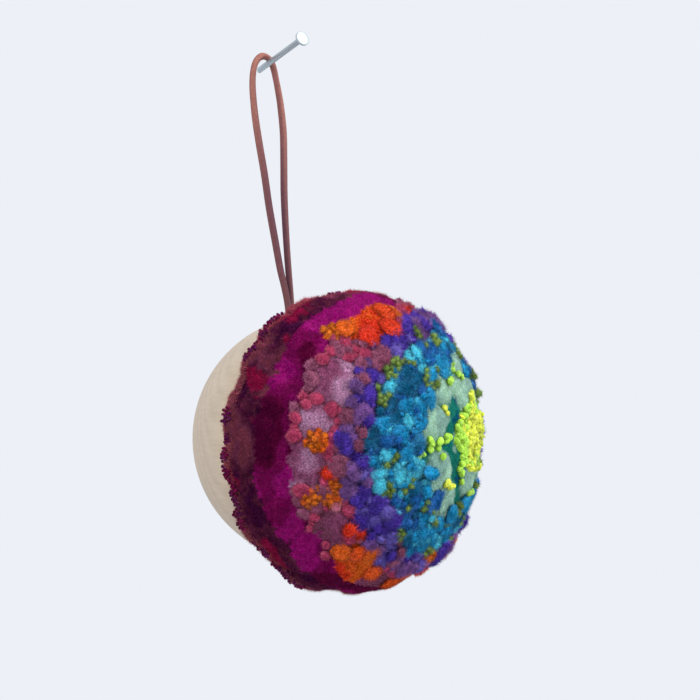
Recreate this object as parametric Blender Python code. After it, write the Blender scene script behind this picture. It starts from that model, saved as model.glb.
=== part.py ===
"""Hanging pom-pom ornament on a wall nail, in metres, +Z up.

A turned wood ball with a flat back carries a domed cap of wool pile: sheared patches, felted bobbles and
knots, with a ragged rim of short locks. A leather loop set in a drilled hole hangs it from a nail. The
origin is where the nail leaves the wall, the wall is the plane y = 0, and the cap faces -Y.
"""
import math
from collections import namedtuple

import bmesh
import bpy
import numpy as np
from mathutils import Matrix, Vector
from mathutils.geometry import delaunay_2d_cdt

MM = 0.001
GAP = 0.3 * MM  # what touching pieces keep between them

# Nail: a plain wire nail, driven slanting down into the wall.
NAIL_LENGTH = 18.8 * MM
NAIL_DIAMETER = 1.5 * MM
NAIL_RISE = math.radians(21.5)
NAIL_HEAD_DIAMETER = 3.7 * MM
NAIL_HEAD_THICKNESS = 0.7 * MM
NAIL_NECK = 0.4 * MM  # the shank swells into the head over this length
NAIL_NECK_SWELL = 0.2 * MM
NAIL_EASE = 0.17 * MM  # the eased edge of the head
NAIL_SIDES = 24

# Wood ball: its middle hangs below the nail, and the back is cut flat against the wall.
BALL_RADIUS = 30.4 * MM
BALL_DEPTH = 22.5 * MM  # from the wall to the ball's middle
BALL_DROP = 92.0 * MM  # from the nail down to the ball's middle
BALL_SEAT_DEPTH = 30.0 * MM  # from the wall to the flat seat that carries the cap
BALL_EDGE = 0.8 * MM  # the eased edge of the back
BALL_SHARP = 15  # edges steeper than this many degrees stay crisp
BALL_SIDES = 56
BALL_RINGS = 20

# Cord: one leather lace, doubled, with both ends in one drilled hole on top of the ball.
CORD_DIAMETER = 1.7 * MM
CORD_STEPS = 2  # tube sections for each stretch of the route
HOLE_DIAMETER = 4.4 * MM
HOLE_LENGTH = 9.0 * MM
HOLE_MOUTH = Vector((0, -12.75, -63.3)) * MM
HOLE_LEAN = math.radians(8.9)  # the hole runs in line with the hanging cord
HOLE_SIDES = 24
CORD_ROUTE_MM = (
    # x, y, z: up out of the hole, over the nail and down again
    (-0.85, -14.0, -68.3),
    (-0.85, -13.25, -63.3),
    (-0.90, -12.5, -58.8),
    (-1.35, -11.7, -54.5),
    (-2.00, -10.9, -50.2),
    (-2.70, -9.7, -43.0),
    (-3.50, -8.4, -34.9),
    (-4.05, -7.1, -26.3),
    (-4.75, -5.9, -18.7),
    (-5.15, -4.8, -12.0),
    (-5.10, -3.8, -5.8),
    (-4.65, -3.2, -2.0),
    (-3.75, -2.8, 0.9),
    (-2.40, -2.5, 2.6),
    (-0.90, -2.35, 3.3),
    (0.60, -2.3, 3.05),
    (1.75, -2.4, 2.1),
    (2.35, -2.7, 0.4),
    (2.70, -3.2, -2.2),
    (3.05, -3.8, -5.6),
    (3.35, -4.4, -9.5),
    (3.35, -5.4, -16.0),
    (2.65, -6.5, -23.8),
    (1.85, -7.6, -31.0),
    (1.35, -8.7, -38.2),
    (1.05, -9.9, -46.8),
    (0.90, -11.1, -54.9),
    (0.87, -11.6, -58.8),
    (0.85, -12.25, -63.3),
    (0.85, -13.0, -68.3),
)

# Wool cap: a half ellipsoid in front of its widest circle, the rim, and a short roll behind it.
RIM_RADIUS = 35.8 * MM
RIM_DEPTH = 34.0 * MM  # from the wall to the rim's plane
CAP_HEIGHT = 26.0 * MM
CAP_DROP = 92.4 * MM
CAP_BACK_RADIUS = 28.9 * MM
GRAIN = 2.15 * MM  # spacing of the plain surface's points
GRAIN_WOBBLE = 0.16  # how far those points stray, as a share of the spacing
NAP = 0.12 * MM  # how far the sheared surface rises and falls
ROLL_RINGS = 4
CAP_SHARP = 60
SEED = 7

# The pile is laid out in bands round an off-centre heart. A place's share is 0 at the heart and 1 at the rim.
HEART = (0.55, 0.06)  # where the heart lies on the cap, with the rim at 1
SQUEEZE = 0.8  # how strongly the bands crowd to the rim on the heart's own side
# Turns, size and phase of the waves in the bands' edges
WAVES = ((2, 0.060, 1.57), (3, 0.030, 0.6), (5, 0.022, 2.1), (9, 0.014, 0.0))
Band = namedtuple("Band", "edge patch_radius patch_height patches bobble_radius bobble_height bobbles")
BANDS = (
    Band(0.16, 0.0, 0.0, 0, 1.25 * MM, 1.5 * MM, 34),
    Band(0.36, 4.0 * MM, 1.2 * MM, 14, 1.10 * MM, 1.2 * MM, 16),
    Band(0.55, 0.0, 0.0, 0, 1.70 * MM, 1.6 * MM, 80),
    Band(0.66, 3.2 * MM, 1.1 * MM, 5, 2.00 * MM, 1.7 * MM, 50),
    Band(0.79, 5.4 * MM, 1.6 * MM, 14, 1.75 * MM, 1.5 * MM, 60),
    Band(0.895, 6.0 * MM, 1.2 * MM, 16, 0.0, 0.0, 0),
    Band(1.02, 4.6 * MM, 1.1 * MM, 24, 0.0, 0.0, 0),
)
FRONT = 0.99  # no patch or bobble has its middle past this share of the way to the rim
TRIES = 60  # throws for each patch or bobble that a band wants
SIZE_SPREAD = 0.18  # patches and bobbles are this share larger or smaller than their band's size
PATCH_ROOM = 0.90  # how close two patches stand, as a share of their radii together
BOBBLE_ROOM = 0.92
BOBBLE_CLEAR = 0.90  # a bobble's middle keeps this share of a patch's radius from the patch's middle
PATCH_SKIRT = 1.15  # how far a patch's dome reaches, in radii
PATCH_FLATNESS = 4  # the power that its dome falls by: higher is flatter on top
BOBBLE_RINGS = ((0.62, 0.80), (1.0, 0.0))  # round its tip: share of its radius, share of its height
BOBBLE_POINTS = 6  # in each ring
BOBBLE_MOAT = 0.42  # the plain surface's points keep this share of the grain from a bobble
Tuft = namedtuple("Tuft", "spot radius height share angle")

LOCKS = 110  # short tufts that stand out round the rim
LOCK_LENGTH = 1.15 * MM
LOCK_SPREAD = (0.6, 1.25)  # from the shortest to the longest, as shares of that length
LOCK_STRAY = 0.35  # how far they lean off true
LOCK_TAPER = 0.62
LOCK_BELT = (0.93, 1.07)  # they grow in this belt either side of the rim


def material(name, colour, roughness, metallic=0.0):
    made = bpy.data.materials.new(name)
    made.use_nodes = True
    shader = made.node_tree.nodes["Principled BSDF"]
    shader.inputs["Base Color"].default_value = (*colour, 1.0)
    shader.inputs["Roughness"].default_value = roughness
    shader.inputs["Metallic"].default_value = metallic
    return made


def piece(name, bm, mat, sharp=30):
    bmesh.ops.recalc_face_normals(bm, faces=bm.faces)
    mesh = bpy.data.meshes.new(name)
    bm.to_mesh(mesh)
    bm.free()
    mesh.shade_smooth()
    mesh.set_sharp_from_angle(angle=math.radians(sharp))
    made = bpy.data.objects.new(name, mesh)
    bpy.context.collection.objects.link(made)
    mesh.materials.append(mat)
    return made


def turned(profile, sides, place):
    """A closed body turned about +Z from (radius, height) points, moved by the matrix place."""
    bm = bmesh.new()
    rings = []
    for radius, height in profile:
        if radius < 1e-9:
            rings.append([bm.verts.new((0, 0, height))])
            continue
        angles = [2 * math.pi * k / sides for k in range(sides)]
        rings.append([bm.verts.new((radius * math.cos(a), radius * math.sin(a), height)) for a in angles])
    for low, high in zip(rings, rings[1:]):
        for k in range(sides):
            below = [low[k % len(low)], low[(k + 1) % len(low)]]
            above = [high[(k + 1) % len(high)], high[k % len(high)]]
            bm.faces.new(list(dict.fromkeys(below + above)))
    for end in (rings[0], rings[-1]):
        if len(end) > 1:
            bm.faces.new(end)
    bmesh.ops.transform(bm, matrix=place, verts=bm.verts)
    return bm


# Nail

def make_nail(steel):
    """Shank and head in one, cut off flush with the wall."""
    shank, head = NAIL_DIAMETER / 2, NAIL_HEAD_DIAMETER / 2
    under, top = NAIL_LENGTH - NAIL_HEAD_THICKNESS, NAIL_LENGTH
    profile = (
        (shank, -NAIL_DIAMETER),
        (shank, under - NAIL_NECK),
        (shank + NAIL_NECK_SWELL, under - NAIL_NECK / 2),
        (head, under),
        (head, top - NAIL_EASE),
        (head - NAIL_EASE, top),
    )
    lean = Matrix.Rotation(math.pi / 2 - NAIL_RISE, 4, "X")
    nail = piece("nail", turned(profile, NAIL_SIDES, lean), steel)
    bm = bmesh.new()
    bm.from_mesh(nail.data)
    everything = bm.verts[:] + bm.edges[:] + bm.faces[:]
    bmesh.ops.bisect_plane(bm, geom=everything, plane_co=(0, 0, 0), plane_no=(0, 1, 0), clear_outer=True)
    rim = [e for e in bm.edges if e.is_boundary]
    bmesh.ops.edgeloop_fill(bm, edges=rim)
    bmesh.ops.recalc_face_normals(bm, faces=bm.faces)
    bm.to_mesh(nail.data)
    bm.free()
    return nail


# Wood ball

def make_ball(wood):
    """Ball between its flat back and its flat seat, with the cord's hole drilled in the top."""
    back = math.acos(BALL_DEPTH / BALL_RADIUS)
    seat = math.acos((BALL_SEAT_DEPTH - BALL_DEPTH) / BALL_RADIUS)
    profile = [(BALL_RADIUS * math.sin(back) - BALL_EDGE, 0.0)]
    for k in range(BALL_RINGS + 1):
        angle = back + (math.pi - back - seat) * k / BALL_RINGS
        profile.append((BALL_RADIUS * math.sin(angle), BALL_DEPTH - BALL_RADIUS * math.cos(angle)))
    profile[1] = (profile[1][0], BALL_EDGE / 2)
    place = Matrix.Translation((0, 0, -BALL_DROP)) @ Matrix.Rotation(math.pi / 2, 4, "X")
    ball = piece("wood_ball", turned(profile, BALL_SIDES, place), wood, sharp=BALL_SHARP)

    drill = [(HOLE_DIAMETER / 2, -HOLE_LENGTH), (HOLE_DIAMETER / 2, HOLE_LENGTH)]
    lean = Matrix.Translation(HOLE_MOUTH) @ Matrix.Rotation(-HOLE_LEAN, 4, "X")
    cutter = piece("hole_cutter", turned(drill, HOLE_SIDES, lean), wood)
    cutter.hide_render = True
    cutter.display_type = "WIRE"
    cut = ball.modifiers.new("cord_hole", "BOOLEAN")
    cut.operation, cut.solver, cut.object = "DIFFERENCE", "EXACT", cutter
    return ball


# Cord

def smooth_route(points, steps):
    """Points on a smooth curve through the given ones, with so many steps to each stretch."""
    ends = [2 * points[0] - points[1]] + points + [2 * points[-1] - points[-2]]
    line = []
    for a, b, c, d in zip(ends, ends[1:], ends[2:], ends[3:]):
        for k in range(steps):
            t = k / steps
            line.append(0.5 * (2 * b + (c - a) * t + (2 * a - 5 * b + 4 * c - d) * t**2
                               + (3 * b - a - 3 * c + d) * t**3))
    return line + [points[-1]]


def make_cord(leather):
    route = smooth_route([Vector(p) * MM for p in CORD_ROUTE_MM], CORD_STEPS)
    curve = bpy.data.curves.new("cord_loop", "CURVE")
    curve.dimensions = "3D"
    curve.bevel_depth = CORD_DIAMETER / 2
    curve.bevel_resolution = 2
    curve.use_fill_caps = True
    spline = curve.splines.new("POLY")
    spline.points.add(len(route) - 1)
    for point, place in zip(spline.points, route):
        point.co = (*place, 1.0)
    cord = bpy.data.objects.new("cord_loop", curve)
    bpy.context.collection.objects.link(cord)
    curve.materials.append(leather)
    return cord


# Wool cap

class Cap:
    """The cap's smooth form. A place on it is (share, angle): 0 at the pole, 1 at the rim, more behind it."""

    STEPS = 400  # samples of the form's outline from pole to rim
    PROBE = 0.004  # the share over which a slope is taken
    MAP_RADIUS = 1000

    def __init__(self):
        front = np.linspace(math.pi / 2, 0, self.STEPS)
        behind = np.linspace(0, math.pi / 2, self.STEPS // 4)[1:]
        roll_out = RIM_RADIUS - CAP_BACK_RADIUS
        roll_back = RIM_DEPTH - BALL_SEAT_DEPTH - GAP
        self.radii = np.concatenate([RIM_RADIUS * np.cos(front), CAP_BACK_RADIUS + roll_out * np.cos(behind)])
        self.heights = np.concatenate([CAP_HEIGHT * np.sin(front), -roll_back * np.sin(behind)])
        run = np.hypot(np.diff(self.radii), np.diff(self.heights))
        arc = np.concatenate([[0], np.cumsum(run)])
        self.arc_to_rim = arc[self.STEPS - 1]
        self.shares = arc / self.arc_to_rim
        self.last = self.shares[-1]
        middle = (self.radii[1:] + self.radii[:-1]) / 2
        self.stretch = np.concatenate([[0], np.cumsum(run / middle)])

    def radius(self, share):
        return float(np.interp(share, self.shares, self.radii))

    def place(self, share, angle):
        radius = self.radius(share)
        height = np.interp(share, self.shares, self.heights)
        return np.array((radius * math.cos(angle), -RIM_DEPTH - height, radius * math.sin(angle) - CAP_DROP))

    def normal(self, share, angle):
        share = min(share, self.last - self.PROBE)
        along = self.place(share + self.PROBE, angle) - self.place(share - self.PROBE, angle)
        around = np.array((-math.sin(angle), 0.0, math.cos(angle)))
        out = np.cross(along, around)
        return out / np.linalg.norm(out)

    def on_map(self, share, angle):
        """The place on a flat map that keeps small shapes true, with the cap's back edge at its outline."""
        stretch = float(np.interp(share, self.shares, self.stretch)) - self.stretch[-1]
        grown = self.MAP_RADIUS * math.exp(stretch)
        return Vector((grown * math.cos(angle), grown * math.sin(angle)))


def polar(x, y):
    return math.hypot(x, y), math.atan2(y, x)


def heart_share(x, y):
    """How far a place on the cap lies from the heart towards the rim, with the bands' waviness."""
    hx, hy = HEART
    away, turn = polar(x - hx, y - hy)
    if away < 1e-9:
        return 0.0
    along = hx * math.cos(turn) + hy * math.sin(turn)
    to_rim = math.sqrt(along**2 + 1 - hx**2 - hy**2) - along
    share = (away / to_rim) ** (1 + SQUEEZE * max(0.0, math.cos(turn))**2)
    wave = sum(size * math.sin(turns * turn + phase) for turns, size, phase in WAVES)
    return share + wave * min(1.0, 4 * share * max(0.0, 1 - share))


def band_of(x, y):
    share = heart_share(x, y)
    return next((k for k, band in enumerate(BANDS) if share < band.edge), len(BANDS))


def near(spot, tufts, reach):
    """Whether a spot is nearer to one of the tufts than reach(tuft)."""
    return any(np.linalg.norm(spot - tuft.spot) < reach(tuft) for tuft in tufts)


def scatter(cap, rng, size_of, room, patches):
    """Tufts scattered band by band, a little apart, and off the patches where some are given."""
    found = []
    for number, band in enumerate(BANDS):
        middle_radius, height, wanted = size_of(band)
        count = 0
        for _ in range(wanted * TRIES):
            x, y = rng.uniform(-1.0, 1.0, 2)
            radius = middle_radius * rng.uniform(1 - SIZE_SPREAD, 1 + SIZE_SPREAD)
            share, angle = polar(x, y)
            if count == wanted or share > FRONT or band_of(x, y) != number:
                continue
            spot = cap.place(share, angle)
            if near(spot, found, lambda t: room * (radius + t.radius)):
                continue
            if near(spot, patches, lambda t: BOBBLE_CLEAR * t.radius):
                continue
            found.append(Tuft(spot, radius, height, share, angle))
            count += 1
    return found


def lay_out(cap, rng):
    patches = scatter(cap, rng, lambda b: (b.patch_radius, b.patch_height, b.patches), PATCH_ROOM, [])
    bobbles = scatter(cap, rng, lambda b: (b.bobble_radius, b.bobble_height, b.bobbles), BOBBLE_ROOM, patches)
    return patches, bobbles


def pillow(spot, patches):
    """How high the sheared patches stand over a place: each is a low flat-topped dome."""
    best = 0.0
    for patch in patches:
        away = np.linalg.norm(spot - patch.spot) / (patch.radius * PATCH_SKIRT)
        if away < 1:
            best = max(best, patch.height * (1 - away**PATCH_FLATNESS))
    return best


def ring_round(cap, tuft, distance, count, turn):
    """Places on the cap in a ring round a tuft."""
    x, y = tuft.share * math.cos(tuft.angle), tuft.share * math.sin(tuft.angle)
    wide = cap.radius(tuft.share) / max(tuft.share, 1e-3)
    for k in range(count):
        a = turn + 2 * math.pi * k / count
        out, across = distance * math.cos(a) / cap.arc_to_rim, distance * math.sin(a) / wide
        yield polar(x + out * math.cos(tuft.angle) - across * math.sin(tuft.angle),
                    y + out * math.sin(tuft.angle) + across * math.cos(tuft.angle))


def relief_points(cap, patches, bobbles, rng):
    """(share, angle, height) for each point of the pile's surface in front of the rim."""
    points = []
    for bobble in bobbles:
        base = pillow(bobble.spot, patches)
        turn = rng.uniform(0, 1)
        points.append((bobble.share, bobble.angle, base + bobble.height))
        for reach, lift in BOBBLE_RINGS:
            for share, angle in ring_round(cap, bobble, bobble.radius * reach, BOBBLE_POINTS, turn):
                points.append((share, angle, base + bobble.height * lift))
    rows = int(cap.arc_to_rim / (GRAIN * math.cos(math.pi / 6)))
    for row in range(rows):
        middle_share = row / rows
        count = max(1, round(2 * math.pi * cap.radius(middle_share) / GRAIN))
        for k in range(count):
            aside, along = rng.uniform(-GRAIN_WOBBLE, GRAIN_WOBBLE, 2) * (row > 0)
            angle = 2 * math.pi * (k + 0.5 * (row % 2) + aside) / count
            share = middle_share + along / rows
            spot = cap.place(share, angle)
            if not near(spot, bobbles, lambda t: t.radius + BOBBLE_MOAT * GRAIN):
                points.append((share, angle, pillow(spot, patches) + rng.uniform(-NAP, NAP)))
    return points


def roll_points(cap, rng):
    """The same for the rim and the roll behind it, down to the edge of the flat back."""
    points = []
    count = round(2 * math.pi * RIM_RADIUS / GRAIN)
    for row, share in enumerate(np.linspace(1.0, cap.last, ROLL_RINGS + 1)):
        for k in range(count):
            lift = rng.uniform(-NAP, 2 * NAP) if row < ROLL_RINGS - 1 else 0.0
            points.append((share, 2 * math.pi * (k + 0.5 * (row % 2)) / count, lift))
    return points


def add_locks(bm, belt, rng):
    """Three-sided tufts, each drawn out of one face of the belt; no two of them share a corner."""
    free = [f for f in bm.faces if len(f.verts) == 3 and all(v in belt for v in f.verts)]
    used, chosen = set(), []
    for k in rng.permutation(len(free)):
        face = free[k]
        if len(chosen) < LOCKS and not used & set(face.verts):
            chosen.append(face)
            used |= set(face.verts)
    middle = Vector((0, -RIM_DEPTH, -CAP_DROP))
    for face in chosen:
        out = (face.calc_center_median() - middle).normalized() + face.normal
        out = (out.normalized() + Vector(rng.uniform(-LOCK_STRAY, LOCK_STRAY, 3))).normalized()
        drawn = bmesh.ops.extrude_discrete_faces(bm, faces=[face])["faces"][0]
        centre = drawn.calc_center_median()
        length = LOCK_LENGTH * rng.uniform(*LOCK_SPREAD)
        for v in drawn.verts:
            v.co = centre + (v.co - centre) * LOCK_TAPER + out * length


def make_cap(wool):
    """One closed body: the relief in front, a roll behind the rim with its locks, and a flat back."""
    rng = np.random.default_rng(SEED)
    cap = Cap()
    patches, bobbles = lay_out(cap, rng)
    points = relief_points(cap, patches, bobbles, rng) + roll_points(cap, rng)
    flat = [cap.on_map(share, angle) for share, angle, _ in points]
    joined, _, faces, _, _, _ = delaunay_2d_cdt(flat, [], [], 0, 1e-6)
    if len(joined) != len(points):
        raise ValueError("two of the cap's points fall together")
    bm = bmesh.new()
    verts = [bm.verts.new(cap.place(s, a) + cap.normal(s, a) * lift) for s, a, lift in points]
    for face in faces:
        bm.faces.new([verts[k] for k in face])
    bmesh.ops.edgeloop_fill(bm, edges=[e for e in bm.edges if e.is_boundary])
    bmesh.ops.recalc_face_normals(bm, faces=bm.faces)
    belt = {v for v, (share, _, _) in zip(verts, points) if LOCK_BELT[0] < share < LOCK_BELT[1]}
    add_locks(bm, belt, rng)
    return piece("wool_dome", bm, wool, sharp=CAP_SHARP)


def clear_scene():
    for old in list(bpy.data.objects):
        bpy.data.objects.remove(old, do_unlink=True)


def main():
    clear_scene()
    make_nail(material("steel", (0.62, 0.64, 0.66), 0.32, 1.0))
    make_ball(material("pale_wood", (0.60, 0.47, 0.33), 0.6))
    make_cord(material("leather", (0.26, 0.11, 0.08), 0.62))
    make_cap(material("wool", (0.28, 0.03, 0.16), 0.9))


main()
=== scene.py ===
"""Looks of the hanging pom-pom ornament: its wool pile, turned wood, leather lace and nail.

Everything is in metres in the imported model's frame: the origin is where the nail leaves the wall, the wall is
y = 0, and the cap faces -Y. The cap's layout repeats the model's own rules and random draws, so each patch
and bobble here lies on its solid. Finer knots and fibres come from draws of their own.
"""
import itertools
from collections import namedtuple
from math import acos, atan2, cos, hypot, pi, radians, sin, sqrt, tau

import bmesh
import bpy
import numpy as np
from mathutils import Matrix, Vector


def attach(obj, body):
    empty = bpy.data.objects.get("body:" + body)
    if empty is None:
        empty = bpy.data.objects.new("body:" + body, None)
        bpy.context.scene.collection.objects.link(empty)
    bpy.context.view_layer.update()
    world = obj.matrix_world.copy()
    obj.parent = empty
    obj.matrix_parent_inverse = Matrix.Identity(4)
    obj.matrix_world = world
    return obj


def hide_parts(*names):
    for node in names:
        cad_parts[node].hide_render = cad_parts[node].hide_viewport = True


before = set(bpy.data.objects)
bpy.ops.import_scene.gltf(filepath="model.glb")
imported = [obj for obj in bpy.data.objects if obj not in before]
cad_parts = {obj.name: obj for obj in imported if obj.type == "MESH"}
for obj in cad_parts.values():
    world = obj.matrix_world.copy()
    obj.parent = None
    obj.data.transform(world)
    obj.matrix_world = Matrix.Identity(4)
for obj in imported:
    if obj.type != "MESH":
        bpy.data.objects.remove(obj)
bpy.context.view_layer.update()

MM = 0.001

# Camera, at the height and side from which the ornament is seen, and light
CAMERA_AZIMUTH = radians(-39.7)
CAMERA_ELEVATION = radians(1.14)
CAMERA_LENS = 152.0
CAMERA_PLACE = Vector((-458.95, -588.50, -55.71)) * MM
LIT_MIDDLE = Vector((0, -30, -90)) * MM
Lamp = namedtuple("Lamp", "name place size power colour")
LAMPS = (
    Lamp("key", (0.55, -0.80, 0.75), 0.7, 9.0, (1.0, 0.97, 0.93)),
    Lamp("fill", (-0.85, -0.40, 0.60), 0.9, 3.6, (0.86, 0.93, 1.0)),
)
SKY_COLOUR, SKY_STRENGTH = (0.91, 0.94, 1.0, 1), 0.93
FLOOR_COLOUR = (0.66, 0.67, 0.69, 1)
FLOOR_DROP = -0.62
FLOOR_RADIUS = 2.4

# Lace: its route is repeated from the part
CORD_DIAMETER = 1.7 * MM
CORD_STEPS = 6
CORD_SIDES = 16
CORD_SQUARENESS = 3.4  # its section is a superellipse of this power
CORD_FLATS = 0.92  # how far its flats lie from the middle, as a share of its radius
CORD_TWIST, CORD_SWAY = 0.0088, 0.35  # radians that it turns from ring to ring, and that it sways to and fro
CORD_LIGHT, CORD_DARK = np.array((0.385, 0.146, 0.106)), np.array((0.088, 0.025, 0.046))
CORD_LIT_SPAN = (-38 * MM, -4 * MM)  # between these heights it turns from dark to light: painted light, lighter towards the top
CORD_ROUTE_MM = (
    # x, y, z: up out of the hole, over the nail and down again
    (-0.85, -14.0, -68.3),
    (-0.85, -13.25, -63.3),
    (-0.90, -12.5, -58.8),
    (-1.35, -11.7, -54.5),
    (-2.00, -10.9, -50.2),
    (-2.70, -9.7, -43.0),
    (-3.50, -8.4, -34.9),
    (-4.05, -7.1, -26.3),
    (-4.75, -5.9, -18.7),
    (-5.15, -4.8, -12.0),
    (-5.10, -3.8, -5.8),
    (-4.65, -3.2, -2.0),
    (-3.75, -2.8, 0.9),
    (-2.40, -2.5, 2.6),
    (-0.90, -2.35, 3.3),
    (0.60, -2.3, 3.05),
    (1.75, -2.4, 2.1),
    (2.35, -2.7, 0.4),
    (2.70, -3.2, -2.2),
    (3.05, -3.8, -5.6),
    (3.35, -4.4, -9.5),
    (3.35, -5.4, -16.0),
    (2.65, -6.5, -23.8),
    (1.85, -7.6, -31.0),
    (1.35, -8.7, -38.2),
    (1.05, -9.9, -46.8),
    (0.90, -11.1, -54.9),
    (0.87, -11.6, -58.8),
    (0.85, -12.25, -63.3),
    (0.85, -13.0, -68.3),
)

# Nail and wood ball, repeated from the part
NAIL_LENGTH = 18.8 * MM
NAIL_DIAMETER = 1.5 * MM
NAIL_RISE = radians(21.5)
NAIL_HEAD_DIAMETER = 3.7 * MM
NAIL_HEAD_THICKNESS = 0.7 * MM
NAIL_SIDES = 56
# Its rounded corners in mm: steps out and up from where shank and head meet, and from the head's two edges
NAIL_NECK = ((0, -0.4), (0.08, -0.3), (0.22, -0.18))
NAIL_FLANGE = ((-0.25, -0.03), (-0.06, 0.03), (0, 0.12))
NAIL_CROWN = ((0, -0.16), (-0.05, -0.06), (-0.16, 0), (-0.925, 0.01))
BALL_RADIUS = 30.4 * MM
BALL_DEPTH = 22.5 * MM
BALL_DROP = 92.0 * MM
BALL_SEAT_DEPTH = 30.0 * MM
BALL_EDGE = 0.8 * MM
BALL_RINGS, BALL_SIDES = 72, 144
HOLE_DIAMETER = 4.4 * MM
HOLE_LENGTH = 9.0 * MM
HOLE_MOUTH = Vector((0, -12.75, -63.3)) * MM
HOLE_LEAN = radians(8.9)
HOLE_SIDES = 48

# Wool cap, repeated from the part
GAP = 0.3 * MM
RIM_RADIUS = 35.8 * MM
RIM_DEPTH = 34.0 * MM
CAP_HEIGHT = 26.0 * MM
CAP_DROP = 92.4 * MM
CAP_BACK_RADIUS = 28.9 * MM
SEED = 7
HEART = (0.55, 0.06)
SQUEEZE = 0.8
WAVES = ((2, 0.060, 1.57), (3, 0.030, 0.6), (5, 0.022, 2.1), (9, 0.014, 0.0))
# Radii and heights are in mm
Band = namedtuple("Band", "edge patch_radius patch_height patches bobble_radius bobble_height bobbles")
BANDS = (
    Band(0.16, 0.0, 0.0, 0, 1.25, 1.5, 34),
    Band(0.36, 4.0, 1.2, 14, 1.10, 1.2, 16),
    Band(0.55, 0.0, 0.0, 0, 1.70, 1.6, 80),
    Band(0.66, 3.2, 1.1, 5, 2.00, 1.7, 50),
    Band(0.79, 5.4, 1.6, 14, 1.75, 1.5, 60),
    Band(0.895, 6.0, 1.2, 16, 0.0, 0.0, 0),
    Band(1.02, 4.6, 1.1, 24, 0.0, 0.0, 0),
)
HEART_BAND, TEAL_BAND, BLUE_BAND, VIOLET_BAND, ROSE_BAND, MAGENTA_BAND, PLUM_BAND = range(7)
FRONT = 0.99
TRIES = 60
SIZE_SPREAD = 0.18
PATCH_ROOM = 0.90
BOBBLE_ROOM = 0.92
BOBBLE_CLEAR = 0.90
PATCH_SKIRT = 1.15
PATCH_FLATNESS = 4

# Wool colours, in sRGB
COLOURS = {
    "magenta": (160, 0, 112),
    "deep_magenta": (126, 0, 80),
    "wine": (92, 0, 50),
    "deep_wine": (80, 0, 46),
    "crimson": (148, 0, 60),
    "plum": (66, 10, 46),
    "plum_brown": (90, 30, 54),
    "rust": (118, 48, 66),
    "dusk": (110, 46, 72),
    "dark_plum": (56, 6, 44),
    "knot_plum": (74, 8, 58),
    "fringe": (176, 82, 90),
    "red_orange": (224, 42, 0),
    "orange": (240, 100, 0),
    "amber": (228, 112, 0),
    "rose": (172, 54, 90),
    "pale_rose": (206, 110, 134),
    "mauve": (152, 76, 114),
    "light_mauve": (200, 144, 180),
    "brown_mauve": (130, 66, 92),
    "violet": (68, 40, 148),
    "deep_violet": (52, 26, 108),
    "periwinkle": (98, 82, 168),
    "grey_purple": (104, 66, 124),
    "blue": (10, 88, 154),
    "cerulean": (0, 138, 188),
    "sky": (70, 192, 220),
    "deep_teal": (0, 78, 112),
    "teal_green": (20, 122, 106),
    "sage": (168, 214, 184),
    "grey_sage": (146, 188, 172),
    "olive": (124, 152, 72),
    "lime": (166, 218, 50),
    "yellow": (216, 226, 46),
    "gold": (186, 200, 34),
    "moss": (102, 126, 56),
    "heart_ground": (170, 186, 40),
    "midnight": (14, 44, 92),
    "dark_red": (112, 34, 40),
    "burnt_orange": (204, 88, 2),
}


def linear(name):
    """A wool colour as linear RGB."""
    share = np.array(COLOURS[name]) / 255
    return np.where(share <= 0.04045, share / 12.92, ((share + 0.055) / 1.055) ** 2.4)


# Shapes

def unit(vectors):
    return vectors / np.maximum(np.linalg.norm(vectors, axis=-1, keepdims=True), 1e-12)


def across(directions, aside=(0.31, 0.17, 0.93)):
    """Two directions at right angles to each given one, none of which lies along aside."""
    side = unit(np.cross(directions, aside))
    return side, np.cross(directions, side)


def smooth_route(points, steps):
    """Points on a smooth curve through the given ones, with so many steps to each stretch."""
    ends = [2 * points[0] - points[1]] + points + [2 * points[-1] - points[-2]]
    line = []
    for a, b, c, d in zip(ends, ends[1:], ends[2:], ends[3:]):
        for k in range(steps):
            t = k / steps
            line.append(0.5 * (2 * b + (c - a) * t + (2 * a - 5 * b + 4 * c - d) * t**2
                               + (3 * b - a - 3 * c + d) * t**3))
    return line + [points[-1]]


def add_object(name, data):
    made = bpy.data.objects.new(name, data)
    bpy.context.scene.collection.objects.link(made)
    return made


def mesh_object(name, mesh, material):
    """A piece of the object, on the part's one body."""
    made = add_object(name, mesh)
    mesh.materials.append(material)
    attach(made, "root")
    return made


def turned(profile, sides, place):
    """A closed body turned about +Z from (radius, height) points, moved by the matrix place."""
    bm = bmesh.new()
    angles = [tau * k / sides for k in range(sides)]
    rings = []
    for radius, height in profile:
        rings.append([bm.verts.new((radius * cos(a), radius * sin(a), height)) for a in angles])
    for low, high in zip(rings, rings[1:]):
        for k in range(sides):
            after = (k + 1) % sides
            bm.faces.new((low[k], low[after], high[after], high[k]))
    for end in (rings[0], rings[-1]):
        bm.faces.new(end)
    bmesh.ops.transform(bm, matrix=place, verts=bm.verts)
    bmesh.ops.recalc_face_normals(bm, faces=bm.faces)
    return bm


def to_mesh(name, bm, sharp=30):
    mesh = bpy.data.meshes.new(name)
    bm.to_mesh(mesh)
    bm.free()
    mesh.shade_smooth()
    mesh.set_sharp_from_angle(angle=radians(sharp))
    return mesh


def array_mesh(name, places, faces, tints, normals=None):
    """A smooth mesh from arrays of points, triangles, each point's tint and, if given, its normal.

    A tint is a linear colour, and for wool a fourth number, how strongly it curls.
    """
    mesh = bpy.data.meshes.new(name)
    mesh.from_pydata(places, (), faces)
    mesh.shade_smooth()
    colours = np.ones((len(tints), 4), np.float32)
    colours[:, :tints.shape[1]] = np.clip(tints, 0, 1)
    mesh.color_attributes.new("tint", "FLOAT_COLOR", "POINT").data.foreach_set("color", colours.ravel())
    if normals is not None:
        mesh.normals_split_custom_set_from_vertices(normals.astype(np.float32))
    return mesh


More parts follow.
